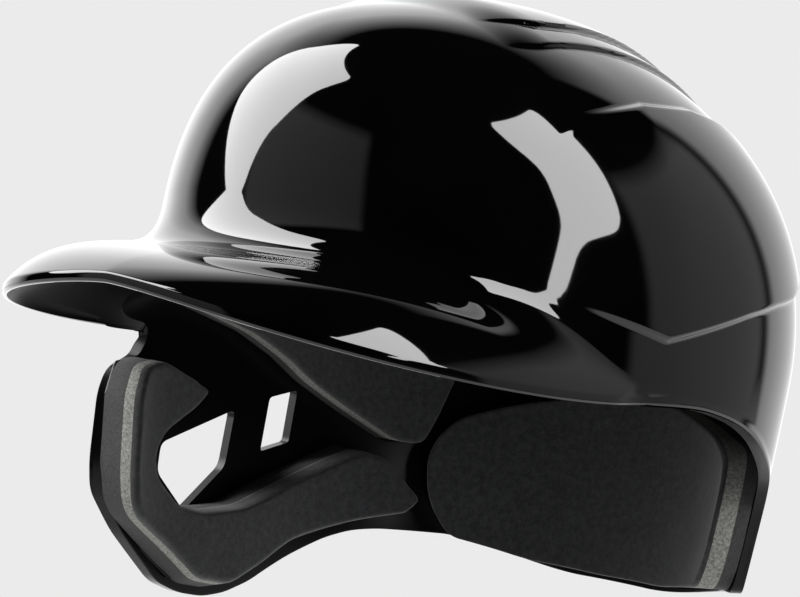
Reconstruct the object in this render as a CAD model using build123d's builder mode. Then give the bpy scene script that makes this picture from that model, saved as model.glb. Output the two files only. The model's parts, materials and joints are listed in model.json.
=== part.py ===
from build123d import *
from math import cos, pi, sin, sqrt
import os

# Batting helmet for one side: a moulded shell with a brim and a single ear flap on the
# wearer's right, lined with laminated foam pads. Millimetres. +X is the wearer's left,
# +Y the back and +Z up. The origin is below the middle of the helmet, level with the
# lowest edge of the ear flap. Heights called "above the brow" count from brow_height.

os.makedirs("parts", exist_ok=True)

# ---- Driving dimensions: the shell ----
half_width = 103.0  # outer, at the ears
front_reach = 114.0  # outer, from the crown axis to the forehead
back_reach = 128.0  # outer, from the crown axis to the back of the head
crown_rise = 112.0  # outer, above the brow
brow_height = 110.0  # above the lowest edge of the ear flap
crown_y = 26.6  # the crown axis, behind the origin
apex_lead = 27.0  # how far the top of the crown lies in front of the crown axis
shell_wall = 3.5
roundness = 2.16  # exponent of the shell's oval sections: 2 is an ellipse
flap_flatness = 6.0  # the same exponent where the ear flap stands flat beside the face
side_curve, front_curve, back_curve = 2.26, 2.46, 2.21  # how full the crown's three profiles are
side_taper, back_taper = 0.05, 0.21  # narrowing per 100 mm below the brow
taper_ease = 0.1  # softens the start of that narrowing
flap_ease_top, flap_ease_depth = 15, 30  # the flap's flatness fades in below this rise

# ---- Driving dimensions: the brim ----
brim_half_width = 100.8
brim_reach = 150.5  # from the brim's own centre to its tip
brim_lead = 30.6  # the brim's centre, in front of the crown axis
brim_tip_rise = 18.8  # the tip's edge, above the brow
brim_side_drop, drop_curve = 32.7, 0.54  # how fast the edge falls away from the tip
brim_side_lift, lift_curve = 3.7, 4  # how much it levels out again at the sides
brim_root_rise = 26.0  # the brim's top where it meets the forehead
brim_root_fall = 15.0  # how much lower that is at the sides
brim_plan_curve = 2.7  # exponent of the brim's plan: 2 is an ellipse
brim_profile_curve = 8  # how close to the edge the top turns down
brim_thickness = 3.5

# ---- Driving dimensions: the pads ----
film_thickness = 0.4
base_foam = 4.5
comfort_foam = 7.0
fabric_thickness = 0.8
ear_base_foam = 8.0
ear_comfort_foam = 6.0

# Section levels: as fractions of the crown's height above the brow, and below it in mm.
upper_levels = [0.07, 0.2, 0.37, 0.55, 0.71, 0.84, 0.93, 0.98]
lower_levels = [-118, -94, -70, -48, -30, -16, -4]
points_per_section = 32
brim_stations = 17


def above(rise, reach, power, crown):
    """Half-size of a section above the brow, closing to nothing at the crown."""
    return reach * (1 - (rise / crown) ** power) ** (1 / power)


def below(drop, reach, taper):
    """Half-size of a section below the brow, narrowing almost evenly with depth."""
    depth = drop / 100
    return reach * (1 - taper * (sqrt(depth**2 + taper_ease**2) - taper_ease))


def smooth(value):
    """Ease from 0 to 1."""
    value = min(max(value, 0), 1)
    return value * value * (3 - 2 * value)


def section_points(rise, inset):
    """Points around the shell at one height above the brow, pulled in by inset."""
    crown = crown_rise - inset
    if rise > 0:
        side = above(rise, half_width - inset, side_curve, crown)
        front = above(rise, front_reach - inset, front_curve, crown)
        back = above(rise, back_reach - inset, back_curve, crown)
        centre_y = crown_y - apex_lead * (rise / crown) ** 2
    else:
        side = below(-rise, half_width, side_taper) - inset
        front = front_reach - inset
        back = below(-rise, back_reach, back_taper) - inset
        centre_y = crown_y
    points = []
    for step in range(points_per_section):
        turn = 2 * pi * (step + 0.5) / points_per_section
        ahead, across = cos(turn), sin(turn)
        power = roundness
        if ahead > 0 and across < 0:
            power += (flap_flatness - roundness) * smooth((flap_ease_top - rise) / flap_ease_depth)
        size = (abs(ahead) ** power + abs(across) ** power) ** (-1 / power)
        reach = front if ahead > 0 else back
        points.append(Vector(side * across * size, centre_y - reach * ahead * size))
    return points


def head_form(inset):
    """The solid inside the shell's outer surface, pulled in by inset."""
    even_steps = [step / points_per_section for step in range(points_per_section + 1)]
    crown = crown_rise - inset
    rises = lower_levels + [level * crown for level in upper_levels]
    sections = []
    for rise in rises:
        with BuildSketch(Plane.XY.offset(brow_height + rise)) as section:
            with BuildLine():
                add(Edge.make_spline(section_points(rise, inset), periodic=True, parameters=even_steps))
            make_face()
        sections.append(section.sketch.faces()[0])
    with BuildPart() as form:
        loft(sections + [Vertex(0, crown_y - apex_lead, brow_height + crown)])
    return form.part


def brim_edge(turn):
    """Place, edge rise and root rise of the brim: turn runs from -90 to 90 degrees."""
    across = abs(sin(turn)) ** (2 / brim_plan_curve)
    ahead = abs(cos(turn)) ** (2 / brim_plan_curve)
    x = brim_half_width * across * (1 if turn > 0 else -1)
    y = -brim_reach * ahead
    sideness = 1 - ahead
    rise = brim_tip_rise - brim_side_drop * sideness**drop_curve + brim_side_lift * sideness**lift_curve
    root_rise = brim_root_rise - brim_root_fall * smooth(sideness)
    return Vector(x, y, 0), rise, root_rise


def brim_top(share, edge_rise, root_rise):
    """Top of the brim at a share of the way out from its centre to its edge."""
    return edge_rise + (root_rise - edge_rise) * (1 - share**brim_profile_curve)


def brim_fan(top_drop, floor_rise=None):
    """A half-disc under the brim's top: a plate, or a block down to floor_rise."""
    shares = [0.45, 0.7, 0.85, 0.93, 1.0]
    faces = []
    for step in range(brim_stations):
        turn = pi * (step / (brim_stations - 1) - 0.5)
        edge, edge_rise, root_rise = brim_edge(turn)
        out = edge.normalized()
        plane = Plane(origin=(0, crown_y - brim_lead, brow_height), x_dir=out, z_dir=(out.Y, -out.X, 0))
        rises = [brim_top(share, edge_rise, root_rise) - top_drop for share in shares]
        top = [Vector(edge.length * share, rise) for share, rise in zip(shares, rises)]
        if floor_rise is None:
            bottom = [point - Vector(0, brim_thickness) for point in top]
        else:
            bottom = [Vector(point.X, floor_rise) for point in top]
        with BuildSketch(plane) as profile:
            with BuildLine():
                add(Edge.make_spline(top, parameters=shares))
                Line(top[-1], bottom[-1])
                add(Edge.make_spline(bottom, parameters=shares))
                Line(bottom[0], top[0])
            make_face()
        faces.append(profile.sketch.faces()[0])
    with BuildPart() as fan:
        loft(faces)
    return fan.part


# ---- Views: each measures from the crown axis at brow level ----
side_view = Plane(origin=(0, crown_y, brow_height), x_dir=(0, 1, 0), z_dir=(1, 0, 0))
face_view = Plane(origin=(0, crown_y, brow_height), x_dir=(1, 0, 0), z_dir=(0, -1, 0))
plan_view = Plane(origin=(0, crown_y, brow_height))
reach = 220  # further than the helmet goes from the crown axis in any direction
left, right = 1, -1


def side_block(outline, side, corner):
    """A side-view outline carried out from the middle plane through one side wall."""
    with BuildPart() as block:
        with BuildSketch(side_view):
            with BuildLine():
                FilletPolyline(*outline, radius=corner, close=True)
            make_face()
        extrude(amount=side * reach)
    return block.part


def face_block(outline, way, corner):
    """A face-view outline carried forwards (way 1) or backwards (way -1)."""
    with BuildPart() as block:
        with BuildSketch(face_view):
            with BuildLine():
                FilletPolyline(*outline, radius=corner, close=True)
            make_face()
        extrude(amount=way * reach)
    return block.part


# ---- Rims: side-view outlines of what is cut away below the shell ----
front_rim = -12.5  # below the brow, where the rim leaves the brim
corner_y = 76.0  # the left rim's upright edge behind the ear
nape_rim = [(72, -87), (84, -88.6), (92, -91.5), (100, -95), (106, -96.3), (reach, -96.3)]

with BuildPart() as left_cut:
    with BuildSketch(side_view):
        with BuildLine():
            rim = Spline((-50, front_rim), (0, -15.5), (38, -26.5), (61, -39.5), tangents=((1, 0), (1, -0.7)))
            Polyline(rim @ 1, (70, -46), (corner_y, -60), (corner_y, -87), *nape_rim[1:])
            Polyline(nape_rim[-1], (reach, -reach), (-reach, -reach), (-reach, front_rim), rim @ 0)
        make_face()
    extrude(amount=reach)

right_rim = nape_rim[::-1] + [
    (60, -86.6),
    (50, -87.4),
    (39, -90.2),
    (22, -96.6),
    (2, -105.4),
    (-13, -brow_height),
    (-29, -brow_height),
    (-39, -106.6),
    (-49, -102.4),
    (-70, -82.8),
    (-82.6, -67.5),
    (-83.6, -57),
    (-80.5, -33),
    (-76, -25),
    (-63, -20),
    (-58, front_rim),
    (-reach, front_rim),
    (-reach, -reach),
    (reach, -reach),
]
right_cut = side_block(right_rim, right, 2.5)

# The wall below the brim's root goes too. On the right it stays where the ear flap begins.
flap_start = -56
with BuildPart() as brow_cut:
    add(brim_fan(brim_thickness / 2, -40))
    with Locations((-reach / 2, crown_y + flap_start + reach / 2, brow_height)):
        Box(reach, reach, reach, mode=Mode.SUBTRACT)
    with Locations((-reach / 2, crown_y, brow_height + front_rim - reach / 2)):
        Box(reach, 2 * reach, reach, mode=Mode.SUBTRACT)

inside = head_form(shell_wall)

with BuildPart() as brim:
    add(brim_fan(0))
    add(inside, mode=Mode.SUBTRACT)

ear_hole = [(-49, -52), (-10.5, -41), (-15, -62), (-36, -77), (-50.5, -62.5)]
vent_slot = [(8, -37), (22, -34.5), (18.5, -54), (4, -57)]

# ---- The shell: one moulding with its brim, ear flap, ear hole and slot ----
with BuildPart() as shell:
    add(head_form(0))
    add(inside, mode=Mode.SUBTRACT)
    add(left_cut.part, mode=Mode.SUBTRACT)
    add(right_cut, mode=Mode.SUBTRACT)
    add(brow_cut.part, mode=Mode.SUBTRACT)
    add(brim.part)
    add(side_block(ear_hole, right, 3), mode=Mode.SUBTRACT)
    add(side_block(vent_slot, right, 1.5), mode=Mode.SUBTRACT)
shell.part.label = "shell"
export_step(shell.part, "parts/shell.step")


# ---- The pads: each is a film of adhesive, two foams and a fabric face ----
def layer_insets(base, comfort):
    """How far each layer boundary lies inside the shell's outer surface."""
    insets = [shell_wall]
    for thickness in (film_thickness, base, comfort, fabric_thickness):
        insets.append(insets[-1] + thickness)
    return insets


head_insets = layer_insets(base_foam, comfort_foam)
ear_insets = layer_insets(ear_base_foam, ear_comfort_foam)
forms = {inset: head_form(inset) for inset in head_insets + ear_insets[2:]}

side_pad_top = [(84, 4), (66, 44), (-30, 44), (-56, 26)]
left_lower_edge = [(-54, -2), (0, -9), (34, -18), (70, -32)]
right_lower_edge = [(-50, 0), (-12, -12), (7, -21.5), (20, -30.5), (48, -46.5), (57, -52), (65, -52), (77, -25)]
ear_pad_outline = [
    (-38, -31.5),
    (-64, -20.5),
    (-76, -22),
    (-81, -33),
    (-82, -57),
    (-80, -67),
    (-59, -89),
    (-44, -101),
    (-24, -103),
    (-8, -96.6),
    (8, -89),
    (38, -83.5),
    (57, -79.5),
    (61, -73),
    (50, -57.5),
    (39.6, -55),
    (12, -64.5),
    (-19, -74.5),
    (-40, -75.5),
    (-53, -72),
    (-66, -60.5),
    (-67.5, -53),
    (-62.5, -46.5),
]
nape_outline = [
    (0, -25),
    (34, -32),
    (60, -42),
    (69, -50),
    (72, -58),
    (72, -69),
    (68, -78),
    (62, -86),
    (36, -91.5),
    (-36, -91.5),
    (-62, -86),
    (-68, -78),
    (-72, -69),
    (-72, -58),
    (-69, -50),
    (-60, -42),
    (-34, -32),
]
front_outline = [(-60, 20), (60, 20), (54, 62), (-54, 62)]
rear_outline = [(-46, -14), (46, -14), (40, 44), (-40, 44)]

with BuildPart() as nape_block:
    add(face_block(nape_outline, -1, 5))
    with BuildSketch(plan_view.offset(-reach)) as nape_wedge:
        with BuildLine():
            Polyline((0, 0), (reach, reach), (-reach, reach), close=True)
        make_face()
    extrude(amount=2 * reach, mode=Mode.INTERSECT)

with BuildPart() as crown_block:
    with BuildSketch(plan_view):
        with Locations((0, -14)):
            Ellipse(40, 48)
    extrude(amount=reach)

layer_names = ("film", "base_foam", "comfort_foam", "fabric")
pads = {
    "front_pad": (face_block(front_outline, 1, 8), head_insets),
    "left_pad": (side_block(left_lower_edge + side_pad_top, left, 5), head_insets),
    "right_pad": (side_block(right_lower_edge + side_pad_top, right, 5), head_insets),
    "rear_pad": (face_block(rear_outline, -1, 8), head_insets),
    "crown_pad": (crown_block.part, head_insets),
    "nape_pad": (nape_block.part, head_insets),
    "ear_pad": (side_block(ear_pad_outline, right, 2.5), ear_insets),
}

for pad, (block, insets) in pads.items():
    for number, layer_name in enumerate(layer_names):
        with BuildPart() as layer:
            add(block)
            add(forms[insets[number + 1]], mode=Mode.SUBTRACT)
            add(forms[insets[number]], mode=Mode.INTERSECT)
        layer.part.label = f"{pad}_{layer_name}"
        export_step(layer.part, f"parts/{pad}_{layer_name}.step")
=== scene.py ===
import json
from math import cos, pi, radians, sin

import bmesh
import bpy
import numpy as np
from mathutils import Matrix, Vector
from mathutils.geometry import delaunay_2d_cdt
from mathutils.noise import noise as fabric_noise

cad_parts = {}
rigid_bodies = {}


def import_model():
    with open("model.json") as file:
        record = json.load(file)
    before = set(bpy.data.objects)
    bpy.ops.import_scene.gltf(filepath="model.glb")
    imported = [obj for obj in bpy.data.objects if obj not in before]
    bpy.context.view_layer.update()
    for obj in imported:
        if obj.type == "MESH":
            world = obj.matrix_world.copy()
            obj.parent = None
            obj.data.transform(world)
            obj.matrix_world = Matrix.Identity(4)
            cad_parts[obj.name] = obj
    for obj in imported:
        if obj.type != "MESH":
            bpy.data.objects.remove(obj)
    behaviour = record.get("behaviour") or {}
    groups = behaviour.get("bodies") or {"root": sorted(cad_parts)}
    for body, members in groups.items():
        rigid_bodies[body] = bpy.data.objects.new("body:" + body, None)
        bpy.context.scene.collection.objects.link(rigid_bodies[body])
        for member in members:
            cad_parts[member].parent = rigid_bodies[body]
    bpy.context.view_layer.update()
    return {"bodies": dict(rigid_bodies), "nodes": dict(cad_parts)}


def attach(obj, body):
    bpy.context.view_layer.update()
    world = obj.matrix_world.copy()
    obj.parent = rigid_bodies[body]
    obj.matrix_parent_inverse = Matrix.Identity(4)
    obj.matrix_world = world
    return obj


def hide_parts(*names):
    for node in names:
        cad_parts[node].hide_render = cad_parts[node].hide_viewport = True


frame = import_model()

root = next(iter(frame["bodies"]))

# ---------------------------------------------------------------------------
# Shape of the shell, in millimetres from the crown axis at brow level:
# +x is the wearer's left, +y the back, +z up.
# ---------------------------------------------------------------------------
CROWN_Y, BROW = 26.6, 110.0  # the crown axis, from the part's origin
HALF_WIDTH, FRONT, BACK, CROWN = 103.0, 114.0, 128.0, 112.0
APEX_LEAD = 27.0  # how far the apex stands ahead of the crown axis
WALL = 3.5
ROUND, FLAT = 2.16, 6.0  # powers of the oval: all round, and in front on the flap's side
SIDE_POWER, FRONT_POWER, BACK_POWER = 2.26, 2.46, 2.21  # of the upright profiles
SIDE_TAPER, BACK_TAPER = 0.05, 0.21  # below the brow, for each 100 mm
BRIM_HALF, BRIM_REACH, BRIM_LEAD, BRIM_POWER = 100.8, 150.5, 30.6, 2.7
TIP_RISE, SIDE_DROP, SIDE_LIFT = 18.8, 32.7, 3.7
ROOT_RISE, ROOT_FALL = 26.0, 15.0
BRIM_THICK = 3.5
BRIM_PROFILE = 11
PLATE_THICK = 4.5  # the brim's, where the ear flap hangs below it
BRIM_BLEND = 18.0  # the hollow between brim and dome
EDGE_SCALE = 90.0  # turns a share of the brim's reach into millimetres
OUTSIDE = 400.0  # a gap that no point on the helmet has


def smooth(value):
    value = np.clip(value, 0.0, 1.0)
    return value * value * (3.0 - 2.0 * value)


def section(z, inset):
    """Half-sizes and centre of the shell's oval at height z, pulled in by inset."""
    crown = CROWN - inset
    up = np.clip(z / crown, 0.0, 1.0)
    depth = np.clip(-z, 0.0, None) / 100.0
    ease = np.sqrt(depth**2 + 0.01) - 0.1

    def size(reach, power, taper):
        above = (reach - inset) * np.maximum(1.0 - up**power, 0.0) ** (1.0 / power)
        return np.where(z > 0, above, reach * (1.0 - taper * ease) - inset)

    side = size(HALF_WIDTH, SIDE_POWER, SIDE_TAPER)
    front = size(FRONT, FRONT_POWER, 0.0)
    back = size(BACK, BACK_POWER, BACK_TAPER)
    return side, front, back, -APEX_LEAD * up**2


def dome_gap(p, inset):
    """How far a point stands outside the shell's oval at its own height."""
    x, y, z = p[..., 0], p[..., 1], p[..., 2]
    side, front, back, centre = section(z, inset)
    ahead = y < centre
    power = ROUND + (FLAT - ROUND) * smooth((15.0 - z) / 30.0) * (ahead & (x < 0))
    across = np.abs(x) / np.maximum(side, 0.01)
    along = np.abs(y - centre) / np.maximum(np.where(ahead, front, back), 0.01)
    share = np.maximum((across**power + along**power) ** (1.0 / power), 1e-6)
    return np.hypot(x, y - centre) * (1.0 - 1.0 / share) + np.where(z > CROWN - inset, 50.0, 0.0)


def brim_edge_rise(side):
    """Height of the brim's edge, from 0 at the tip to 1 at the side."""
    return TIP_RISE - SIDE_DROP * side**0.54 + SIDE_LIFT * side**4


def brim_top(x, y):
    """Height of the brim's top, the share of the way out to its edge, and the sideness."""
    across = np.abs(x) / BRIM_HALF
    along = np.maximum(-(y + BRIM_LEAD) / BRIM_REACH, 0.0)
    share = np.maximum((across**BRIM_POWER + along**BRIM_POWER) ** (1.0 / BRIM_POWER), 1e-6)
    side = np.clip(1.0 - along / share, 0.0, 1.0)
    edge = brim_edge_rise(side)
    top = ROOT_RISE - ROOT_FALL * smooth(side)
    return edge + (top - edge) * (1.0 - np.minimum(share, 1.0) ** BRIM_PROFILE), share, side


def brim_fade(y):
    """The brim's edge draws in a little where it runs into the side wall."""
    return 1.0 + 0.02 * smooth((y + BRIM_LEAD + 18.0) / 18.0)


def outer_gap(p, is_plate):
    """The dome joined to the brim by a hollow blend, with the brim as a plate or filled below."""
    dome = dome_gap(p, 0.0)
    x, y, z = p[..., 0], p[..., 1], p[..., 2]
    top, share, side = brim_top(x, y)
    brim = np.maximum(z - top, (share * brim_fade(y) - 1.0) * EDGE_SCALE)
    if is_plate:
        brim = np.maximum(brim, top - PLATE_THICK - z)
    brim = np.where(y < -BRIM_LEAD, brim, OUTSIDE)
    blend = BRIM_BLEND * smooth((1.0 - side) / 0.5) + 0.5
    mix = np.clip(0.5 + 0.5 * (brim - dome) / blend, 0.0, 1.0)
    return brim * (1.0 - mix) + dome * mix - blend * mix * (1.0 - mix)


def shell_gap(p):
    return outer_gap(p, False)


def shell_gap_thin(p):
    """The outer surface where the ear flap hangs below the brim."""
    return outer_gap(p, True)


CLEAR = 160.0  # from the middle to a place outside the shell


def meet(gap, start, way, far):
    """First meeting of lines from start, along way, with the surface where gap is zero."""
    low = np.zeros(start.shape[:-1])
    high = np.broadcast_to(far, low.shape).astype(float).copy()
    for _ in range(26):
        mid = 0.5 * (low + high)
        outside = gap(start + way * mid[..., None]) > 0
        low = np.where(outside, mid, low)
        high = np.where(outside, high, mid)
    return start + way * (0.5 * (low + high))[..., None]


def side_point(y, z, side, gap):
    """The point of a surface at a side-view place."""
    y, z = np.broadcast_arrays(np.asarray(y, float), np.asarray(z, float))
    start = np.stack([np.full_like(y, CLEAR * side), y, z], -1)
    way = np.zeros_like(start)
    way[..., 0] = -side
    return meet(gap, start, way, CLEAR - 1.0)


def bend(a, corner, b, t):
    """A place on the curve from a to b that a corner pulls on."""
    return (1 - t) ** 2 * a + 2 * t * (1 - t) * corner + t * t * b


def rounded(points, radius, step, closed=True):
    """A polyline through points with its corners rounded."""
    points = np.array(points, float)
    count = len(points)
    out = []
    for i in range(count):
        corner = points[i]
        if not closed and i in (0, count - 1):
            out.append(corner)
            continue
        before, after = points[i - 1] - corner, points[(i + 1) % count] - corner
        cut = min(radius, 0.45 * np.linalg.norm(before), 0.45 * np.linalg.norm(after))
        a = corner + before / np.linalg.norm(before) * cut
        b = corner + after / np.linalg.norm(after) * cut
        out += [bend(a, corner, b, t) for t in np.linspace(0, 1, 7)]
    if closed:
        out.append(out[0])
    return resample(np.array(out), step, closed)


def resample(line, step, closed=False):
    """Even spacing along a polyline."""
    length = np.concatenate([[0], np.cumsum(np.linalg.norm(np.diff(line, axis=0), axis=1))])
    count = max(int(round(length[-1] / step)), 3)
    at = np.linspace(0, length[-1], count + 1)
    if closed:
        at = at[:-1]
    return np.stack([np.interp(at, length, line[:, k]) for k in range(line.shape[1])], -1)


def to_scene(points):
    """Millimetres from the crown axis to metres in the row frame."""
    return (np.asarray(points) + [0.0, CROWN_Y, BROW]) * 0.001


def mesh_object(name, vertices, faces, material):
    mesh = bpy.data.meshes.new(name)
    mesh.from_pydata(vertices.tolist(), [], faces)
    mesh.validate()
    mesh.shade_smooth()
    mesh.materials.append(material)
    obj = bpy.data.objects.new(name, mesh)
    bpy.context.scene.collection.objects.link(obj)
    return obj


# ---------------------------------------------------------------------------
# The shell's mesh: columns run from the crown out to the rim, round its lip
# and back up the inside to the crown again.
# ---------------------------------------------------------------------------
COLUMNS = 960
OUTER_ROWS, UNDER_ROWS, INNER_ROWS = ((260, 22, 80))
LAND = 3.4  # the moulded band along the rim
LAND_STEP = 0.55  # how far the band stands out
FLAP_START, LEFT_START = -58.0, -31.5  # where the brim's edge meets the flap and the left rim
NAPE_RIM = -96.3
NAPE_ARCH = 9.3  # the nape's rim rises this much towards its ends
NAPE_COLUMNS = 598
RIM_STEP = 0.25
BRIM_WALL_END = -52.0  # behind this the brim's edge lies on the side wall
ARC = 100.0  # millimetres round the shell for each radian, in a flattened rim
FAN_TURN = 0.06  # how far the flap's first columns are turned at the crown
AXIS = np.array([0.0, -APEX_LEAD, 0.0])

left_outline = [
    (-31.5, -13.4),
    (-15, -14.1),
    (0, -15.5),
    (20, -20),
    (38, -26.5),
    (61, -39.5),
    (70, -46),
    (75.3, -56),
    (76.3, -66),
    (76, -87),
    (84, -88),
]
flap_outline = [
    (80, -87.2),
    (60, -86.6),
    (50, -87.4),
    (39, -90.2),
    (22, -96.6),
    (2, -105.2),
    (-12, -108.6),
    (-24, -109.2),
    (-37, -107),
    (-49, -102.4),
    (-70, -82.8),
    (-82.6, -67.5),
    (-83.6, -57),
    (-80.5, -33),
    (-76, -25),
    (-63, -20),
    (-59, -13.2),
    (-58, -12.4),
]
ear_hole = [(-49, -52), (-10.5, -41), (-15, -62), (-36, -77), (-50.5, -62.5)]
vent_slot = [(8, -37), (22, -34.5), (18.5, -54), (4, -57)]


def azimuth(p):
    """Angle about the crown axis from the front, positive to the wearer's left."""
    return np.arctan2(p[..., 0], -(p[..., 1] + APEX_LEAD))


def spoke(angle, rise):
    """Unit direction out from the axis at an azimuth, tilted up by rise radians."""
    return np.stack([np.sin(angle) * np.cos(rise), -np.cos(angle) * np.cos(rise), np.sin(rise)], -1)


def wall_at(angle, z, gap):
    """The point of a surface at an azimuth and height."""
    out = spoke(angle, np.zeros_like(angle))
    start = AXIS + out * (CLEAR + 100.0)
    start[..., 2] = z
    return meet(gap, start, -out, CLEAR + 98.0)


def inner_gap(p):
    return dome_gap(p, WALL)


def outline_rim(outline, side, radius, step):
    """A side-view rim as azimuth and height."""
    line = rounded(outline, radius, step, closed=False)
    at = side_point(line[:, 0], line[:, 1], side, shell_gap_thin)
    return np.stack([azimuth(at), line[:, 1]], -1)


def brim_rim(turns):
    """The brim's top edge, bottom edge, and the corner where its underside meets the inner wall."""
    across = np.sign(turns) * np.abs(np.sin(turns)) ** (2.0 / BRIM_POWER)
    ahead = np.abs(np.cos(turns)) ** (2.0 / BRIM_POWER)
    side = 1.0 - ahead
    z = brim_edge_rise(side)
    top = np.stack([BRIM_HALF * across, -BRIM_LEAD - BRIM_REACH * ahead, z], -1)
    fade = brim_fade(top[:, 1])
    wall = np.abs(side_point(top[:, 1], top[:, 2], 1, lambda p: dome_gap(p, 0.0))[:, 0])
    beside_wall = top[:, 1] > BRIM_WALL_END
    reach = np.maximum(np.abs(top[:, 0]) / fade, np.where(beside_wall, wall, 0.0))
    top[:, 0] = np.sign(turns) * reach
    bottom = top - [0.0, 0.0, BRIM_THICK]

    def under(p):
        p = p.copy()
        p[..., 2] = brim_top(p[..., 0], p[..., 1])[0] - BRIM_THICK
        return inner_gap(p)

    way = (AXIS - top) * [1, 1, 0]
    corner = meet(under, top, way, 0.9)
    corner[..., 2] = brim_top(corner[..., 0], corner[..., 1])[0] - BRIM_THICK
    return top, bottom, corner


def turn_at(y):
    """Brim angle at which the edge reaches a given y."""
    return np.arccos(np.clip((-(y + BRIM_LEAD) / BRIM_REACH), 0, 1) ** (BRIM_POWER / 2.0))


def inward(rim, distance):
    """A rim of azimuths and heights, moved into the shell by a distance."""
    flat = rim * [ARC, 1.0]
    along = np.gradient(flat, axis=0)
    along /= np.linalg.norm(along, axis=1)[:, None]
    normal = running_mean(np.stack([-along[:, 1], along[:, 0]], -1), 5, "edge")
    normal /= np.linalg.norm(normal, axis=1)[:, None]
    return (flat + normal * distance) / [ARC, 1.0]


def running_mean(lines, window, ends):
    """Each column of values, averaged over a window of rows."""
    padded = np.pad(lines, ((window // 2, window // 2), (0, 0)), mode=ends)
    kernel = np.ones(window) / window
    return np.stack([np.convolve(line, kernel, mode="valid") for line in padded.T], -1)


def ironed(rings, column, reach):
    """Evens out the rings on both sides of a column where two runs of rim meet."""
    even = running_mean(rings, 13, "wrap")
    apart = np.abs(np.arange(len(rings)) - column)
    share = smooth(1.5 - 1.5 * apart / reach)[:, None]
    return rings * (1.0 - share) + even * share


def length_along(points):
    """Distance of each point from the first, along a line of points."""
    return np.concatenate([[0], np.cumsum(np.linalg.norm(np.diff(points, axis=0), axis=1))])


def nape_rim(start, end):
    """The rim round the nape between two places, each an azimuth and a height."""
    turn = np.linspace(start[0], end[0], NAPE_COLUMNS + 2)[1:-1]
    level = np.linspace(start[1], end[1], NAPE_COLUMNS)
    count = np.arange(NAPE_COLUMNS)
    rise = NAPE_ARCH * smooth((np.abs(np.degrees(turn - pi)) - 6.5) / 30.0)
    blend = smooth(count / 40.0) * smooth(count[::-1] / 40.0)
    return np.stack([turn, level + (NAPE_RIM + rise - level) * blend], -1)


def fan_out(crown, rim, first, last, turn):
    """Spreads a run of columns evenly at the crown, by their distance along the rim."""
    along = length_along(rim[first : last + 1] * [ARC, 1])
    end = crown[last] - turn
    crown[first : last + 1] = crown[first] + (end - crown[first]) * along / along[-1]


def rim_points():
    """Land edge, outer lip, inner lip, and the azimuth each column has at the crown."""
    brim_left = brim_rim(np.linspace(0.0, turn_at(LEFT_START), 500)[:-1])
    brim_right = brim_rim(-np.linspace(turn_at(FLAP_START), 0.0, 480)[1:])
    left = outline_rim(left_outline, 1, 9.0, RIM_STEP)
    flap = outline_rim(flap_outline, -1, 4.0, RIM_STEP)
    flap[:, 0] = np.where(flap[:, 0] < 0, flap[:, 0] + 2 * pi, flap[:, 0])
    rim = np.concatenate([left, nape_rim(left[-1], flap[0]), flap])
    land = inward(rim, LAND)
    count = np.arange(len(rim))
    ease = smooth(count / 60.0) * smooth(count[::-1] / 30.0)
    outer = wall_at(rim[:, 0], rim[:, 1], shell_gap_thin)
    outer += spoke(rim[:, 0], np.zeros(len(rim))) * (LAND_STEP * ease)[:, None]
    inner = wall_at(rim[:, 0], rim[:, 1], inner_gap)
    edge = wall_at(land[:, 0], land[:, 1], shell_gap_thin)
    crown = rim[:, 0].copy()
    # Columns fan out over the flap and the upright edge behind the left ear.
    fan_out(crown, rim, len(left) + NAPE_COLUMNS - 1, len(rim) - 1, FAN_TURN)
    fan_out(crown, rim, int(len(left) * 0.7), len(left) + 60, 0.0)
    right_crown = azimuth(brim_right[0]) + 2 * pi
    share = np.arange(len(right_crown), 0, -1) / len(right_crown)
    right_crown -= FAN_TURN * smooth(share * 2.2 - 1.2)
    starts, ends = len(brim_left[0]), len(brim_right[0])
    land_edge = np.concatenate([brim_left[0], edge, brim_right[0]])
    outer_lip = np.concatenate([brim_left[1], outer, brim_right[1]])
    inner_lip = np.concatenate([brim_left[2], inner, brim_right[2]])
    crown = np.concatenate([azimuth(brim_left[0]), crown, right_crown])
    is_flap = np.concatenate([np.zeros(starts), np.ones(len(rim)), np.zeros(ends)])
    everything = np.column_stack([land_edge, outer_lip, inner_lip, crown, is_flap])
    length = length_along(outer_lip) + 0.02 * np.arange(len(outer_lip))
    at = np.linspace(0, length[-1], COLUMNS + 1)[:-1]
    even = np.stack([np.interp(at, length, line) for line in everything.T], -1)
    for joint in (starts, starts + len(rim)):
        even[:, :9] = ironed(even[:, :9], int(np.searchsorted(at, length[joint])), 16)
    return even[:, :3], even[:, 3:6], even[:, 6:9], even[:, 9], even[:, 10] > 0.5


def rise_of_view(angle):
    """How steeply the columns' guide lines come in: steeper over the brim."""
    ahead = np.cos(angle)
    return radians(12.0) + radians(23.0) * smooth((ahead - 0.05) / 0.6)


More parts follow.
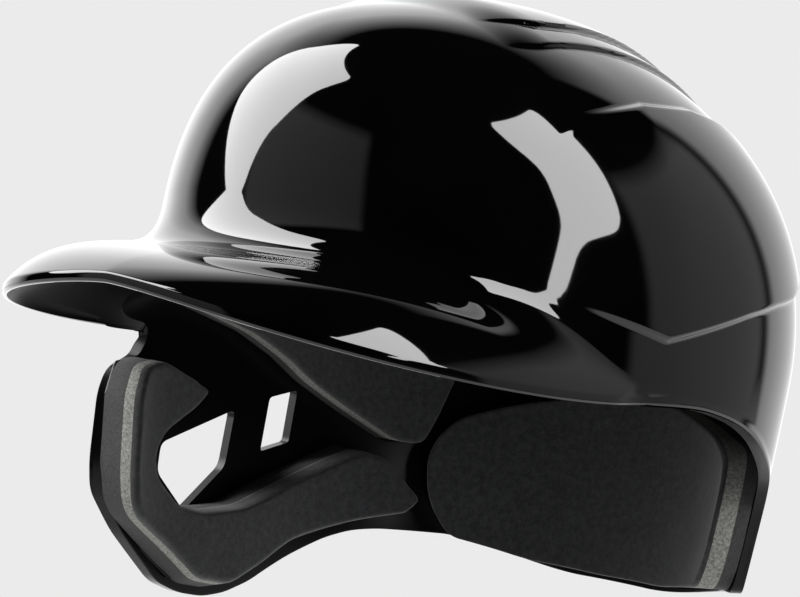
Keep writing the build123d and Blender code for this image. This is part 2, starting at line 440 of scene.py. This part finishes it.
def sheet(edge, crown, gap_of, apex_z, rows, thin):
    """Rows of surface points from the crown to the edge."""
    tilt = rise_of_view(crown)
    radius = np.hypot(edge[:, 0], edge[:, 1] + APEX_LEAD)
    edge_angle = np.unwrap(azimuth(edge))
    edge_angle += np.round((crown - edge_angle) / (2 * pi)) * 2 * pi
    low = -radius * np.sin(tilt) + edge[:, 2] * np.cos(tilt)
    high = apex_z * np.cos(tilt)
    # Columns start to turn towards the edge at a side wall's place 20 mm above the brow.
    bending = -100.0 * np.sin(tilt) + 20.0 * np.cos(tilt)
    turn_from = np.clip((high - bending) / (high - low), 0.0, 0.9)
    far_out = CLEAR + 140.0
    out = []
    for row in range(1, rows + 1):
        share = row / (rows + 1.0)
        level = high + (low - high) * share
        late = np.clip((share - turn_from) / (1.0 - turn_from), 0.0, 1.0) ** 3
        angle = crown + (edge_angle - crown) * late
        way = spoke(angle, tilt)
        across = spoke(angle, tilt + pi / 2)
        start = AXIS + across * level[:, None] + way * far_out
        far = far_out - level * np.tan(tilt)
        point = meet(gap_of, start, -way, far)
        if thin is not None:
            point = np.where(thin[:, None], meet(shell_gap_thin, start, -way, far), point)
        out.append(point)
    return out


def corner_rows(before, corner, after, cut):
    """A rounded corner between two rows of points."""

    def toward_row(row, most):
        way = row - corner
        share = np.minimum(cut / np.maximum(np.linalg.norm(way, axis=1), 1e-6), most)
        return corner + way * share[:, None]

    a, b = toward_row(before, 0.8), toward_row(after, 0.45)
    return [bend(a, corner, b, t) for t in (0.0, 0.25, 0.5, 0.75, 1.0)]


def outline_distance(y, z, outline):
    """Signed distance into a closed side-view outline."""
    line = np.array(outline, float)
    best = np.full(y.shape, 1e9)
    inside = np.zeros(y.shape, bool)
    for a, b in zip(line, np.roll(line, -1, axis=0)):
        span = b - a
        t = np.clip(((y - a[0]) * span[0] + (z - a[1]) * span[1]) / (span @ span), 0, 1)
        best = np.minimum(best, np.hypot(y - a[0] - t * span[0], z - a[1] - t * span[1]))
        crosses = (a[1] > z) != (b[1] > z)
        at = a[0] + (z - a[1]) * span[0] / (span[1] if span[1] else 1e-9)
        inside ^= crosses & (y < at)
    return np.where(inside, best, -best)


side_panel = [
    (-72, 60),
    (-47, 80),
    (-14, 84.5),
    (16, 84),
    (40, 80.5),
    (60, 74.5),
    (71, 62),
    (79, 45),
    (84, 24),
    (62, 19),
    (45, 18),
    (21, 15),
    (-24, 7),
    (-67, 20),
]


PANEL_STEP, RIB_STEP, SHOULDER_STEP = 2.0, 1.7, 1.5
STEP_WIDTH = 1.6


def moulded_steps(p):
    """Height of the shallow steps moulded into the crown and sides."""
    x, y, z = np.abs(p[:, 0]), p[:, 1], p[:, 2]
    into = outline_distance(y, z, side_panel)
    panel = PANEL_STEP * smooth(into / np.where(z > 45, 2.8, 2.2)) * smooth((y + 64) / 50)
    # Both crown steps narrow towards the back and the front, and fade out low down.
    inner_half = 43.0 - 0.010 * np.clip(y + 20, 0, None) ** 1.5 - 12.0 * smooth((-30 - y) / 30)
    outer_half = 53.5 - 0.012 * np.clip(y + 8, 0, None) ** 1.5 - 8.0 * smooth((-40 - y) / 30)
    fade = smooth((z - 8) / 60)
    rib = RIB_STEP * smooth((inner_half - x) / STEP_WIDTH) * smooth((y + 52) / 22)
    shoulder = SHOULDER_STEP * smooth((outer_half - x) / STEP_WIDTH) * smooth((y + 55) / 20)
    return panel + (rib + shoulder) * fade


def raised(skin):
    """The outside's rows of points, lifted along their normals by the moulded steps."""
    down = np.gradient(skin, axis=0)
    around = np.roll(skin, -1, axis=1) - np.roll(skin, 1, axis=1)
    normal = np.cross(down, around)
    normal /= np.maximum(np.linalg.norm(normal, axis=2), 1e-9)[..., None]
    lift = moulded_steps(skin.reshape(-1, 3)).reshape(skin.shape[:2])
    return skin + normal * lift[..., None]


def underside(outer, inner, is_flap):
    """Rows between the outer and inner lips, which under the brim follow its curve."""
    rows = []
    for row in range(1, UNDER_ROWS):
        point = outer + (inner - outer) * row / UNDER_ROWS
        brim_under = brim_top(point[:, 0], point[:, 1])[0] - BRIM_THICK
        point[:, 2] = np.where(is_flap, point[:, 2], brim_under)
        rows.append(point)
    return rows


def shell_faces(levels, columns):
    """Quads between the rows, then a fan of triangles at the outer and at the inner apex."""
    index = np.arange(levels * columns).reshape(levels, columns) + 1
    after = np.roll(index, -1, axis=1)
    faces = np.stack([index[:-1], index[1:], after[1:], after[:-1]], -1).reshape(-1, 4).tolist()
    last = levels * columns + 1
    faces += [[0, int(a), int(b)] for a, b in zip(index[0], after[0])]
    faces += [[last, int(b), int(a)] for a, b in zip(index[-1], after[-1])]
    return faces


def build_shell(material, inner_material):
    land, outer, inner, crown, is_flap = rim_points()
    outside = sheet(land, crown, shell_gap, CROWN, OUTER_ROWS, is_flap)
    inside = sheet(inner, crown, inner_gap, CROWN - WALL, INNER_ROWS, None)[::-1]
    rows = outside + corner_rows(outside[-1], land, outer, 1.1)[1:]
    skin_rows = len(rows)
    band = outer - land
    band /= np.maximum(np.linalg.norm(band, axis=1), 1e-6)[:, None]
    rows += [land + band * at for at in (1.5, 2.1)]
    rows += corner_rows(land, outer, inner, 1.6)
    first_inside = len(rows) - 1
    rows += underside(outer, inner, is_flap)
    rows += corner_rows(rows[-1], inner, inside[0], 0.9)
    rows += inside
    grid = np.array(rows)
    grid[:skin_rows] = raised(grid[:skin_rows])
    levels, columns = grid.shape[:2]
    apex = np.array([[0.0, -APEX_LEAD, CROWN]])
    outer_apex = apex + [0.0, 0.0, RIB_STEP + SHOULDER_STEP]
    inner_apex = apex - [0.0, 0.0, WALL]
    vertices = np.concatenate([outer_apex, grid.reshape(-1, 3), inner_apex])
    faces = shell_faces(levels, columns)
    shell = mesh_object("helmet_shell", to_scene(vertices), faces, material)
    shell.data.materials.append(inner_material)
    inner_side = np.zeros(len(faces), int)
    inner_side[first_inside * columns : (levels - 1) * columns] = 1
    inner_side[-columns:] = 1
    shell.data.polygons.foreach_set("material_index", inner_side)
    for name, outline, radius in (("ear_hole", ear_hole, 3.0), ("vent_slot", vent_slot, 1.5)):
        cut_through(shell, name, rounded(outline, radius, 0.6), inner_material)
    return shell


CUT_FROM, CUT_TO = -70.0, -130.0  # across the ear flap's wall


def cut_through(obj, name, line, material):
    """Cuts a side-view outline through the ear flap."""
    count = len(line)
    near = np.stack([np.full(count, CUT_FROM), line[:, 0], line[:, 1]], -1)
    far = near + [CUT_TO - CUT_FROM, 0.0, 0.0]
    ring = np.concatenate([near, far])
    faces = [[k, (k + 1) % count, count + (k + 1) % count, count + k] for k in range(count)]
    faces += [list(range(count))[::-1], list(range(count, 2 * count))]
    mesh = bpy.data.meshes.new(name)
    mesh.from_pydata(to_scene(ring).tolist(), [], faces)
    mesh.materials.append(material)
    face_outwards(mesh)
    cutter = bpy.data.objects.new(name, mesh)
    bpy.context.scene.collection.objects.link(cutter)
    cut = obj.modifiers.new("Boolean", "BOOLEAN")
    cut.object = cutter
    cut.operation = "DIFFERENCE"
    cut.solver = "MANIFOLD"
    apply_modifiers(obj)
    obj.data.set_sharp_from_angle(angle=radians(48))
    bpy.data.objects.remove(cutter)
    bpy.data.meshes.remove(mesh)


def face_outwards(mesh):
    work = bmesh.new()
    work.from_mesh(mesh)
    bmesh.ops.recalc_face_normals(work, faces=work.faces)
    work.to_mesh(mesh)
    work.free()


def apply_modifiers(obj):
    view = bpy.context.evaluated_depsgraph_get()
    mesh = bpy.data.meshes.new_from_object(obj.evaluated_get(view))
    obj.modifiers.clear()
    old = obj.data
    obj.data = mesh
    bpy.data.meshes.remove(old)


# ---------------------------------------------------------------------------
# Materials
# ---------------------------------------------------------------------------
def new_material(name, **sockets):
    material = bpy.data.materials.new(name)
    material.use_nodes = True
    shader = material.node_tree.nodes["Principled BSDF"]
    for key, value in sockets.items():
        shader.inputs[key.replace("_", " ")].default_value = value
    return material, shader


def add_node(material, kind, **sockets):
    node = material.node_tree.nodes.new(kind)
    for key, value in sockets.items():
        node.inputs[key.replace("_", " ")].default_value = value
    return node


def link(material, a, b):
    material.node_tree.links.new(a, b)


def noise(material, scale, detail=2.0, roughness=0.5):
    place = add_node(material, "ShaderNodeTexCoord")
    texture = add_node(material, "ShaderNodeTexNoise", Scale=scale, Detail=detail, Roughness=roughness)
    link(material, place.outputs["Object"], texture.inputs["Vector"])
    return texture


def ramp(material, source, stops):
    node = material.node_tree.nodes.new("ShaderNodeValToRGB")
    link(material, source, node.inputs["Fac"])
    node.color_ramp.elements[0].position, node.color_ramp.elements[0].color = stops[0]
    node.color_ramp.elements[1].position, node.color_ramp.elements[1].color = stops[-1]
    for position, colour in stops[1:-1]:
        node.color_ramp.elements.new(position).color = colour
    return node


def bump(material, shader, height, strength, distance):
    node = add_node(material, "ShaderNodeBump", Strength=strength, Distance=distance)
    link(material, height, node.inputs["Height"])
    link(material, node.outputs["Normal"], shader.inputs["Normal"])


def grey(value, tint=(1.0, 1.0, 1.0)):
    return (value * tint[0], value * tint[1], value * tint[2], 1.0)


def black_plastic(name, roughness, specular):
    material, shader = new_material(
        name, Roughness=roughness, IOR=1.5, Specular_IOR_Level=specular
    )
    shade = noise(material, 40.0)
    colour = ramp(material, shade.outputs["Fac"], [(0.3, grey(0.0007)), (0.7, grey(0.0013))])
    link(material, colour.outputs["Color"], shader.inputs["Base Color"])
    peel = noise(material, 260.0, 1.0)
    bump(material, shader, peel.outputs["Fac"], 0.05, 0.00004)
    return material


def foam(name, dark, light, tint, scale):
    material, shader = new_material(name, Roughness=0.92)
    cells = noise(material, scale, 3.0, 0.75)
    colour = ramp(material, cells.outputs["Fac"], [(0.36, grey(dark, tint)), (0.66, grey(light, tint))])
    link(material, colour.outputs["Color"], shader.inputs["Base Color"])
    bump(material, shader, cells.outputs["Fac"], 0.7, 0.0004)
    return material


def fabric():
    material, shader = new_material("brushed_knit", Roughness=0.95, Sheen_Weight=0.25, Sheen_Roughness=0.5)
    nap = noise(material, 1500.0, 3.0, 0.7)
    flecks = noise(material, 420.0, 3.0)
    mixed = add_node(material, "ShaderNodeMath")
    mixed.operation = "MULTIPLY"
    link(material, nap.outputs["Fac"], mixed.inputs[0])
    link(material, flecks.outputs["Fac"], mixed.inputs[1])
    dark, light = grey(0.008, (0.94, 0.99, 1.08)), grey(0.032, (0.95, 0.99, 1.07))
    colour = ramp(material, mixed.outputs["Value"], [(0.15, dark), (0.4, light)])
    link(material, colour.outputs["Color"], shader.inputs["Base Color"])
    bump(material, shader, nap.outputs["Fac"], 0.6, 0.0003)
    return material


def film():
    material, shader = new_material("adhesive_film", Roughness=0.45)
    shade = noise(material, 300.0)
    colour = ramp(material, shade.outputs["Fac"], [(0.3, grey(0.012)), (0.7, grey(0.02))])
    link(material, colour.outputs["Color"], shader.inputs["Base Color"])
    return material


black_gloss = black_plastic("gloss_black", 0.035, 0.5)
black_satin = black_plastic("satin_black", 0.3, 0.2)  # the shell's underside and inside
dense_foam = foam("dense_foam", 0.03, 0.06, (0.96, 1.0, 0.96), 1400.0)
soft_foam = foam("soft_foam", 0.12, 0.36, (1.0, 1.0, 0.93), 1100.0)
knit = fabric()
adhesive = film()

# ---------------------------------------------------------------------------
# The shell replaces its plain CAD node.
# ---------------------------------------------------------------------------
shell = build_shell(black_gloss, black_satin)
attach(shell, root)
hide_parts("shell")

# ---------------------------------------------------------------------------
# The pads: each is a film, a dense foam, a soft foam and a brushed fabric face.
# Outlines are side views (y, z), face views (x, z), a plan (x, y) or, for the
# nape, degrees round the crown axis from the back and height.
# ---------------------------------------------------------------------------
HEAD_INSETS = (3.92, 8.4, 15.4, 16.2)  # of the layers' faces, from the shell's outside
EAR_INSETS = (3.92, 11.9, 17.9, 18.7)
SLIT = 0.02  # between layers
HEM = 0.4  # foam left bare below a wrapped fabric
side_pad_top = [(84, 4), (66, 44), (-30, 44), (-56, 26)]
left_lower_edge = [(-54, -2), (0, -9), (34, -18), (70, -32)]
right_lower_edge = [
    (-50, 0),
    (-12, -12),
    (7, -21.5),
    (20, -30.5),
    (48, -46.5),
    (57, -52),
    (64.5, -52.5),
    (70, -42),
    (77, -25),
]
ear_pad_outline = [
    (-38, -31.5),
    (-64, -20.5),
    (-76, -22),
    (-81.5, -33),
    (-82.3, -58),
    (-80.5, -69),
    (-76, -75.5),
    (-55, -91.5),
    (-40, -103),
    (-24, -106),
    (-8, -99.5),
    (8, -91.5),
    (38, -83.5),
    (57, -79.5),
    (62, -73),
    (50, -57.5),
    (39.6, -55),
    (12, -64.5),
    (-19, -74.5),
    (-40, -75.5),
    (-53, -72),
    (-66, -60.5),
    (-67.5, -53),
    (-62.5, -46.5),
    (-45.5, -38),
]
ear_pad_wrapped = ear_pad_outline[14:] + ear_pad_outline[:1]
nape_outline = [
    (0, -25),
    (9, -27.5),
    (18, -31.5),
    (27, -35),
    (39, -42),
    (43.5, -50),
    (45.5, -58),
    (45, -69),
    (43, -78),
    (39, -86.6),
    (20, -92),
    (0, -93),
]
nape_outline += [(-angle, z) for angle, z in nape_outline[-2:0:-1]]
front_outline = [(-60, 20), (60, 20), (54, 62), (-54, 62)]
rear_outline = [(-46, -14), (46, -14), (40, 44), (-40, 44)]
crown_outline = [(40 * cos(k * pi / 12), -14 + 48 * sin(k * pi / 12)) for k in range(24)]
DEGREE = 1.75  # millimetres round the nape for each degree
NAPE_FOCUS = -15.0  # the nape pad's ends point to this place on the middle plane
NAPE_OVAL = (92.48, 92.0)  # half-width and depth of the oval that spaces out its degrees
EDGE_RINGS = (0.25, 0.6, 1.1, 1.7, 2.4, 3.4)  # depths of the rings of points along a pad's edge


def onto(view, side, plane, inset):
    """Lifts places of a view onto the shell's form, pulled in by an inset for each."""
    a, b = plane[:, 0], plane[:, 1]
    start, way = np.zeros((len(a), 3)), np.zeros((len(a), 3))
    if view == "side":
        start[:] = np.stack([np.full_like(a, CLEAR * side), a, b], -1)
        way[:, 0] = -side
    elif view == "face":
        start[:] = np.stack([a, np.full_like(a, CLEAR * side), b], -1)
        way[:, 1] = -side
    elif view == "plan":
        start[:] = np.stack([a, b, np.full_like(a, CLEAR)], -1)
        way[:, 2] = -1
    else:
        turn = np.radians(a / DEGREE)
        face = np.stack([NAPE_OVAL[0] * np.sin(turn), NAPE_OVAL[1] * np.cos(turn)], -1)
        out = face - [0.0, NAPE_FOCUS]
        out /= np.linalg.norm(out, axis=1)[:, None]
        way[:, :2] = -out
        start[:, :2] = face + out * 90.0
        start[:, 2] = b
    return meet(lambda p: dome_gap(p, inset), start, way, CLEAR - 1.0)


def pad_mesh(outline, radius, step):
    """A rounded outline as points, triangles and the points' distances from its edge."""
    edge = rounded(outline, radius, step)
    x, y = edge[:, 0], edge[:, 1]
    if np.sum(x * np.roll(y, -1) - y * np.roll(x, -1)) < 0:
        edge = edge[::-1]
    along = np.roll(edge, -1, axis=0) - np.roll(edge, 1, axis=0)
    along /= np.linalg.norm(along, axis=1)[:, None]
    normal = np.stack([-along[:, 1], along[:, 0]], -1)
    points = [edge]
    for distance in EDGE_RINGS:
        ring = edge + normal * distance
        points.append(ring[outline_distance(ring[:, 0], ring[:, 1], edge) > distance * 0.96])
    spacing = 2.4
    low, high = edge.min(axis=0), edge.max(axis=0)
    across, upward = np.meshgrid(*[np.arange(low[k], high[k], spacing) for k in (0, 1)])
    grid = np.stack([across.ravel(), upward.ravel()], -1)
    clear_of_rings = EDGE_RINGS[-1] + 0.4 * spacing
    points.append(grid[outline_distance(grid[:, 0], grid[:, 1], edge) > clear_of_rings])
    points = np.concatenate(points)
    count = len(edge)
    result = delaunay_2d_cdt([Vector(p) for p in points], [], [list(range(count))], 1, 1e-5)
    points = np.array([tuple(p) for p in result[0]])
    depth = np.maximum(outline_distance(points[:, 0], points[:, 1], edge), 0.0)
    return points, [list(face) for face in result[2]], depth


def layer(name, view, side, region, bottom, top, material, lean):
    """A closed layer of a pad between two sets of insets."""
    points, triangles = region
    count = len(points)
    outer = onto(view, side, lean(points, bottom), bottom)
    inner = onto(view, side, lean(points, top), top)
    flip = {"side": side < 0, "face": side > 0, "plan": True, "round": True}[view]
    faces = [[a, c, b] if flip else [a, b, c] for a, b, c in triangles]
    edges = [edge for a, b, c in faces for edge in ((a, b), (b, c), (c, a))]
    both_ways = set(edges)
    border = [(a, b) for a, b in edges if (b, a) not in both_ways]
    faces += [[c + count, b + count, a + count] for a, b, c in faces]
    faces += [[b, a, a + count, b + count] for a, b in border]
    obj = mesh_object(name, to_scene(np.concatenate([outer, inner])), faces, material)
    face_outwards(obj.data)
    obj.data.set_sharp_from_angle(angle=radians(42))
    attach(obj, root)
    return obj


def path_distance(points, path):
    """Distance from each point to an open path."""
    best = np.full(len(points), 1e9)
    for a, b in zip(np.array(path[:-1], float), np.array(path[1:], float)):
        span = b - a
        t = np.clip((points - a) @ span / (span @ span), 0, 1)
        best = np.minimum(best, np.linalg.norm(points - a - t[:, None] * span, axis=1))
    return best


def straight(points, inset):
    """A pad whose edge stands square to the shell."""
    return points


def ear_lean(points, inset):
    """The ear pad's lower edge leans in towards its face."""
    rise = 0.27 * (inset - EAR_INSETS[0]) * smooth((-70.0 - points[:, 1]) / 25.0)
    return points + np.stack([np.zeros_like(rise), rise], -1)


def left_lean(points, inset):
    """The left pad's lower rear corner slopes back from the rim."""
    corner = smooth((points[:, 0] - 30.0) / 20.0) * smooth((20.0 - points[:, 1]) / 20.0)
    rise = 0.6 * (inset - HEAD_INSETS[0]) * corner
    return points + np.stack([-0.5 * rise, rise], -1)


def nape_lean(points, inset):
    """The nape pad's lower corner on the wearer's right is undercut; its left end slopes out."""
    under = smooth((-70.0 - points[:, 1]) / 14.0) * smooth((-points[:, 0] / DEGREE - 12.0) / 18.0)
    rise = 0.4 * (HEAD_INSETS[3] - inset) * under
    end = smooth((points[:, 0] / DEGREE - 24.0) / 14.0)
    spread = 0.38 * (HEAD_INSETS[3] - inset) * end
    lift = spread * smooth((points[:, 1] + 66.0) / 16.0)
    return points + np.stack([0.5 * rise + spread, rise + lift], -1)


def make_pad(name, view, side, outline, radius, insets, roll=2.0, wrapped=None, lean=straight):
    """Where a path is wrapped, the fabric is drawn down over the soft foam's edge."""
    back, middle, face, front = insets
    points, triangles, depth = pad_mesh(outline, radius, 0.6)
    drop = 1.0 - np.sqrt(np.maximum(1.0 - np.maximum(1.0 - depth / roll, 0.0) ** 2, 0.0))
    fall = np.full(len(depth), roll)
    if wrapped:
        near_path = smooth((9.0 - path_distance(points, wrapped)) / 4.0)
        fall += (face - middle - HEM - roll) * near_path
    waves = np.array([fabric_noise(Vector((a, b, back)) * 0.055) for a, b in points])
    relief = 0.35 * waves * smooth(depth / 6.0) - drop * fall
    level = np.zeros(len(depth))
    layers = (
        ("dense", "base_foam", dense_foam, back + level, middle + level),
        ("soft", "comfort_foam", soft_foam, middle + SLIT + level, face + relief),
        ("face", "fabric", knit, face + SLIT + relief, front + relief),
    )
    for ending, slot, material, bottom, top in layers:
        piece = layer(
            f"{name}_{ending}", view, side, (points, triangles), bottom, top, material, lean
        )
        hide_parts(f"{name}_{slot}")


make_pad("front_pad", "face", -1, front_outline, 8.0, HEAD_INSETS)
make_pad("rear_pad", "face", 1, rear_outline, 8.0, HEAD_INSETS)
make_pad("crown_pad", "plan", 1, crown_outline, 8.0, HEAD_INSETS)
make_pad("left_pad", "side", 1, left_lower_edge + side_pad_top, 5.0, HEAD_INSETS, lean=left_lean)
make_pad("right_pad", "side", -1, right_lower_edge + side_pad_top, 5.0, HEAD_INSETS)
nape_edge = [(angle * DEGREE, z) for angle, z in nape_outline]
make_pad("nape_pad", "round", 1, nape_edge, 6.0, HEAD_INSETS, roll=1.0, lean=nape_lean)
make_pad(
    "ear_pad",
    "side",
    -1,
    ear_pad_outline,
    4.0,
    EAR_INSETS,
    roll=2.2,
    wrapped=ear_pad_wrapped,
    lean=ear_lean,
)

# The adhesive films are the plain CAD nodes.
for name, node in frame["nodes"].items():
    if name.endswith("film"):
        node.data.materials.clear()
        node.data.materials.append(adhesive)

# ---------------------------------------------------------------------------
# Camera
# ---------------------------------------------------------------------------
CAMERA_TURN, CAMERA_RISE, CAMERA_ROLL = radians(39.86), radians(3.97), radians(4.87)
CAMERA_DISTANCE = 1.1
TARGET_Y, TARGET_Z = -38.8, 10.82  # from the crown axis at brow level, on the middle plane


def place_camera():
    back = direction(CAMERA_TURN, CAMERA_RISE)
    level = Vector((cos(CAMERA_TURN), sin(CAMERA_TURN), 0.0))
    upright = back.cross(level)
    right = cos(CAMERA_ROLL) * level + sin(CAMERA_ROLL) * upright
    up = cos(CAMERA_ROLL) * upright - sin(CAMERA_ROLL) * level
    target = Vector((0.0, TARGET_Y + CROWN_Y, TARGET_Z + BROW)) * 0.001
    turned = Matrix((right, up, back)).transposed().to_4x4()
    data = bpy.data.cameras.new("camera")
    data.lens = 145.06
    data.sensor_width = 36.0
    camera = bpy.data.objects.new("camera", data)
    camera.matrix_world = Matrix.Translation(target + back * CAMERA_DISTANCE) @ turned
    bpy.context.scene.collection.objects.link(camera)
    bpy.context.scene.camera = camera


def direction(turn, rise):
    """From the front, round to the wearer's left and up, in radians."""
    return Vector((sin(turn) * cos(rise), -cos(turn) * cos(rise), sin(rise)))


place_camera()
bpy.context.scene.view_settings.view_transform = "Standard"

# ---------------------------------------------------------------------------
# The studio: a white sweep behind, two large softboxes with grey boards beside
# them, and black curtains between. Azimuths run from the front, positive to the
# wearer's left.
# ---------------------------------------------------------------------------
BACKDROP = 0.83
SWEEP_GLOW, BOARD_GLOW, GROUND_GLOW = 2.2, 0.55, 1.2
SOFTBOX_DISTANCE, SOFTBOX_GLOW = 1.3, 11.0
SOFTBOX_CENTRE = Vector((0.0, -0.03, 0.16))
right_softbox = [
    (-92, 65),
    (-29, 57),
    (-40, 42),
    (-45, 22),
    (-49, 3),
    (-57, 3),
    (-80, 26),
    (-87, 40),
]
left_softbox = [
    (74, 52),
    (80, 44),
    (90, 34),
    (90, 18),
    (79, 1),
    (86, 1),
    (93, 14),
    (108, 18),
    (111, 30),
    (116, 57),
]


def softbox(name, corners):
    """A glowing board, unseen by the camera, whose corners stand in given directions."""
    material = bpy.data.materials.new(name)
    material.use_nodes = True
    nodes = material.node_tree.nodes
    nodes.clear()
    glow = nodes.new("ShaderNodeEmission")
    glow.inputs["Color"].default_value = (1.0, 1.0, 1.0, 1.0)
    glow.inputs["Strength"].default_value = SOFTBOX_GLOW
    output = nodes.new("ShaderNodeOutputMaterial")
    material.node_tree.links.new(glow.outputs["Emission"], output.inputs["Surface"])
    mesh = bpy.data.meshes.new(name)
    outline = [
        direction(radians(turn), radians(rise)) * SOFTBOX_DISTANCE + SOFTBOX_CENTRE
        for turn, rise in rounded(corners, 5.0, 2.0)
    ]
    mesh.from_pydata(outline, [], [list(range(len(outline)))])
    mesh.materials.append(material)
    board = bpy.data.objects.new(name, mesh)
    bpy.context.scene.collection.objects.link(board)
    board.visible_camera = False


softbox("softbox_right", right_softbox)
softbox("softbox_left", left_softbox)


def studio():
    world = bpy.data.worlds.new("studio")
    world.use_nodes = True
    nodes, links = world.node_tree.nodes, world.node_tree.links

    def calc(operation, *values):
        node = nodes.new("ShaderNodeMath")
        node.operation = operation
        for socket, value in zip(node.inputs, values):
            if isinstance(value, (int, float)):
                socket.default_value = value
            else:
                links.new(value, socket)
        return node.outputs["Value"]

    def steps(value, stops):
        """Greys along a value, each stop a place from 0 to 1 and a level."""
        node = nodes.new("ShaderNodeValToRGB")
        links.new(value, node.inputs["Fac"])
        elements = node.color_ramp.elements
        for element, (position, level) in zip(elements, (stops[0], stops[-1])):
            element.position = position
            element.color = (level, level, level, 1.0)
        for position, level in stops[1:-1]:
            elements.new(position).color = (level, level, level, 1.0)
        return node.outputs["Color"]

    def angle(degrees):
        return degrees / 360.0 + 0.5

    def height(degrees):
        return degrees / 180.0 + 0.5

    place = nodes.new("ShaderNodeTexCoord")
    split = nodes.new("ShaderNodeSeparateXYZ")
    links.new(place.outputs["Generated"], split.inputs["Vector"])
    x, y, z = split.outputs
    turn = calc("ARCTAN2", x, calc("MULTIPLY", y, -1.0))
    turn = calc("MULTIPLY_ADD", turn, 0.5 / pi, 0.5)
    rise = calc("MULTIPLY_ADD", calc("ARCSINE", z), 1.0 / pi, 0.5)
    sweep_round = steps(
        turn,
        [
            (angle(-180), 0.55),
            (angle(-160), 0.6),
            (angle(-135), 0.8),
            (angle(-112), 1.0),
            (angle(-92), 0.75),
            (angle(-80), 0.0),
            (angle(168), 0.0),
            (angle(172), 0.5),
            (angle(180), 0.55),
        ],
    )
    sweep_up = steps(rise, [(0.0, 1.0), (height(35), 1.0), (height(55), 0.0), (1.0, 0.0)])
    boards_round = steps(
        turn,
        [
            (angle(-50), 0.0),
            (angle(-48), 1.0),
            (angle(1), 0.65),
            (angle(5), 0.0),
            (angle(112), 0.0),
            (angle(116), 0.9),
            (angle(164), 0.9),
            (angle(168), 0.0),
        ],
    )
    boards_up = steps(rise, [(height(-60), 0.4), (height(30), 1.0), (height(36), 0.0), (1.0, 0.0)])
    sweep = calc("MULTIPLY", calc("MULTIPLY", sweep_round, sweep_up), SWEEP_GLOW)
    boards = calc("MULTIPLY", calc("MULTIPLY", boards_round, boards_up), BOARD_GLOW)
    ground_stops = [(0.0, GROUND_GLOW), (height(-14), GROUND_GLOW), (height(-5), 0.0), (1.0, 0.0)]
    ground = steps(rise, ground_stops)
    total = calc("MAXIMUM", calc("ADD", sweep, boards), ground)
    seen = nodes.new("ShaderNodeLightPath").outputs["Is Camera Ray"]
    reflected = calc("MULTIPLY", total, calc("SUBTRACT", 1.0, seen))
    level = calc("ADD", calc("MULTIPLY", seen, BACKDROP), reflected)
    sky = nodes["Background"]
    links.new(level, sky.inputs["Strength"])
    sky.inputs["Color"].default_value = (1.0, 1.0, 1.0, 1.0)
    bpy.context.scene.world = world


studio()

def pale_floor():
    """A floor level with the foot of the ear flap, as bright as the backdrop."""
    material, shader = new_material("pale_floor", Roughness=1.0, Specular_IOR_Level=0.0)
    shader.inputs["Base Color"].default_value = (0.0, 0.0, 0.0, 1.0)
    shader.inputs["Emission Color"].default_value = (1.0, 1.0, 1.0, 1.0)
    shader.inputs["Emission Strength"].default_value = BACKDROP
    half = 6.0
    corners = [(-half, -half, 0.0), (half, -half, 0.0), (half, half, 0.0), (-half, half, 0.0)]
    mesh = bpy.data.meshes.new("floor")
    mesh.from_pydata(corners, [], [(0, 1, 2, 3)])
    mesh.materials.append(material)
    floor = bpy.data.objects.new("floor", mesh)
    bpy.context.scene.collection.objects.link(floor)
    floor.visible_glossy = False


pale_floor()
